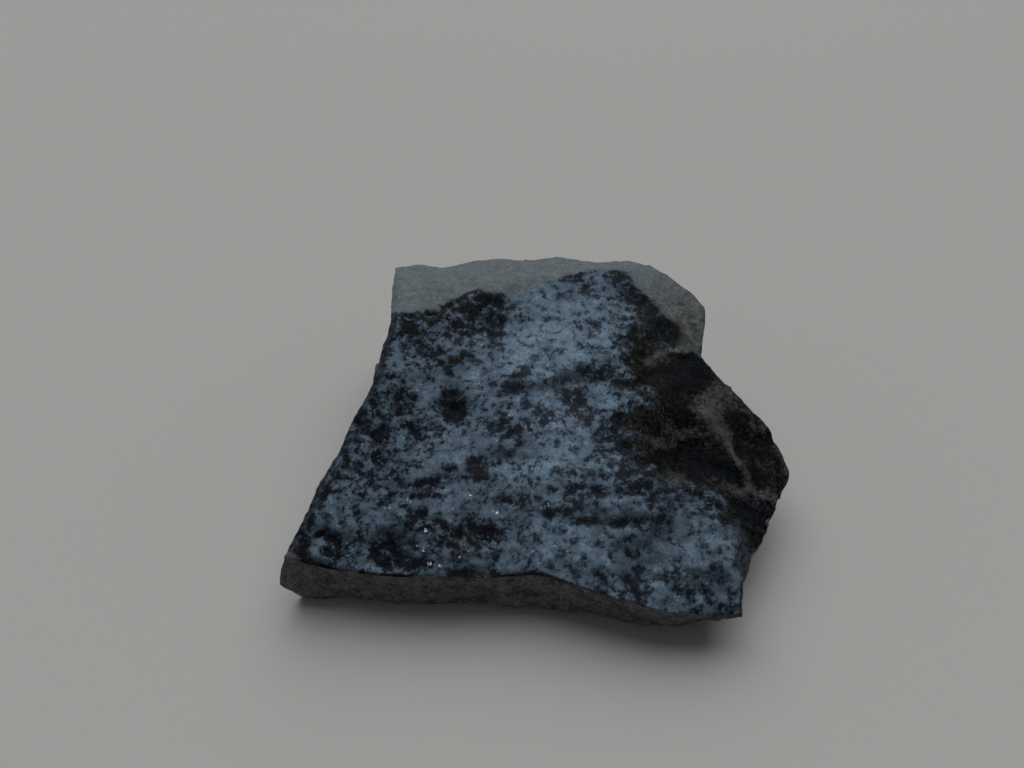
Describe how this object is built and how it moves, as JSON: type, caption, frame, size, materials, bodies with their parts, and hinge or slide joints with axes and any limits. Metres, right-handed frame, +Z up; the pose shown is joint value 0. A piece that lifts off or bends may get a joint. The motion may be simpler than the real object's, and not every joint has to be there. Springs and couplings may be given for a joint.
{
  "type": "raw hematite stone",
  "caption": "Rough wedge-shaped chunk of raw hematite with one sloping speckled cleavage face and broken matte sides, resting on its flat underside.",
  "frame": {"origin": "on the ground plane, under the centre of the stone's bounding box, on the level middle of its underside", "axes": "+Z up out of the sloping cleavage face, +X along the long side towards the pointed corner, -Y towards the thin front edge"},
  "size_m": [0.0478, 0.0434, 0.0146],
  "materials": {
    "hematite": "semi-metallic blue-grey cleavage face speckled black, with matte grey broken sides"
  },
  "bodies": {
    "root": {"hematite_stone": "hematite"}
  },
  "joints": []
}
